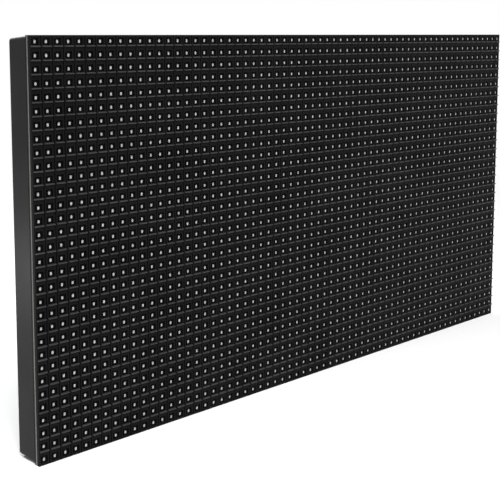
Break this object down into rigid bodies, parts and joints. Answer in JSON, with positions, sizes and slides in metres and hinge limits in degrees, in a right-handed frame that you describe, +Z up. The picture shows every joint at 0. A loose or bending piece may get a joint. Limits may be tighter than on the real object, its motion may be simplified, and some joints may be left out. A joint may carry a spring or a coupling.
{
  "type": "rgb led matrix panel",
  "caption": "Flat upright lamp matrix panel: louvred black front mask over a lamp board, rear case with windows, data sockets and threaded fixing inserts.",
  "frame": {"origin": "centre of the fixing pattern, on the flat rear face of the case", "axes": "+X to the right and +Z up as seen from the lamps' side, +Y out of the rear face, lamps look along -Y"},
  "size_m": [0.3196, 0.0147, 0.1596],
  "materials": {
    "case_plastic": "satin moulded",
    "mask_plastic": "fine matt moulded",
    "board": "solder mask, light cut edge",
    "lamp": "dark package with a pale window",
    "chip": "moulded, tinned leads",
    "header_plastic": "moulded",
    "power_plastic": "moulded",
    "pin_metal": "plated",
    "screw_steel": "zinc plated",
    "insert_brass": "turned",
    "capacitor_can": "drawn can on a black base"
  },
  "bodies": {
    "root": {"rear_case": "case_plastic", "circuit_board": "board", "front_mask": "mask_plastic", "lamp_rows": "lamp", "case_screws": "screw_steel", "fixing_inserts": "insert_brass", "data_in_shroud": "header_plastic", "data_in_pins": "pin_metal", "data_out_shroud": "header_plastic", "data_out_pins": "pin_metal", "power_housing": "power_plastic", "power_posts": "pin_metal", "driver_chip_01": "chip", "driver_chip_02": "chip", "driver_chip_03": "chip", "driver_chip_04": "chip", "driver_chip_05": "chip", "driver_chip_06": "chip", "driver_chip_07": "chip", "driver_chip_08": "chip", "driver_chip_09": "chip", "driver_chip_10": "chip", "driver_chip_11": "chip", "driver_chip_12": "chip", "driver_chip_13": "chip", "driver_chip_14": "chip", "driver_chip_15": "chip", "driver_chip_16": "chip", "driver_chip_17": "chip", "driver_chip_18": "chip", "driver_chip_19": "chip", "driver_chip_20": "chip", "driver_chip_21": "chip", "driver_chip_22": "chip", "driver_chip_23": "chip", "driver_chip_24": "chip", "buffer_chip_1": "chip", "buffer_chip_2": "chip", "buffer_chip_3": "chip", "buffer_chip_4": "chip", "decoder_chip_1": "chip", "decoder_chip_2": "chip", "row_switch_1": "chip", "row_switch_2": "chip", "row_switch_3": "chip", "row_switch_4": "chip", "row_switch_5": "chip", "row_switch_6": "chip", "row_switch_7": "chip", "row_switch_8": "chip", "capacitor_1": "capacitor_can", "capacitor_2": "capacitor_can", "capacitor_3": "capacitor_can", "capacitor_4": "capacitor_can"}
  },
  "joints": []
}
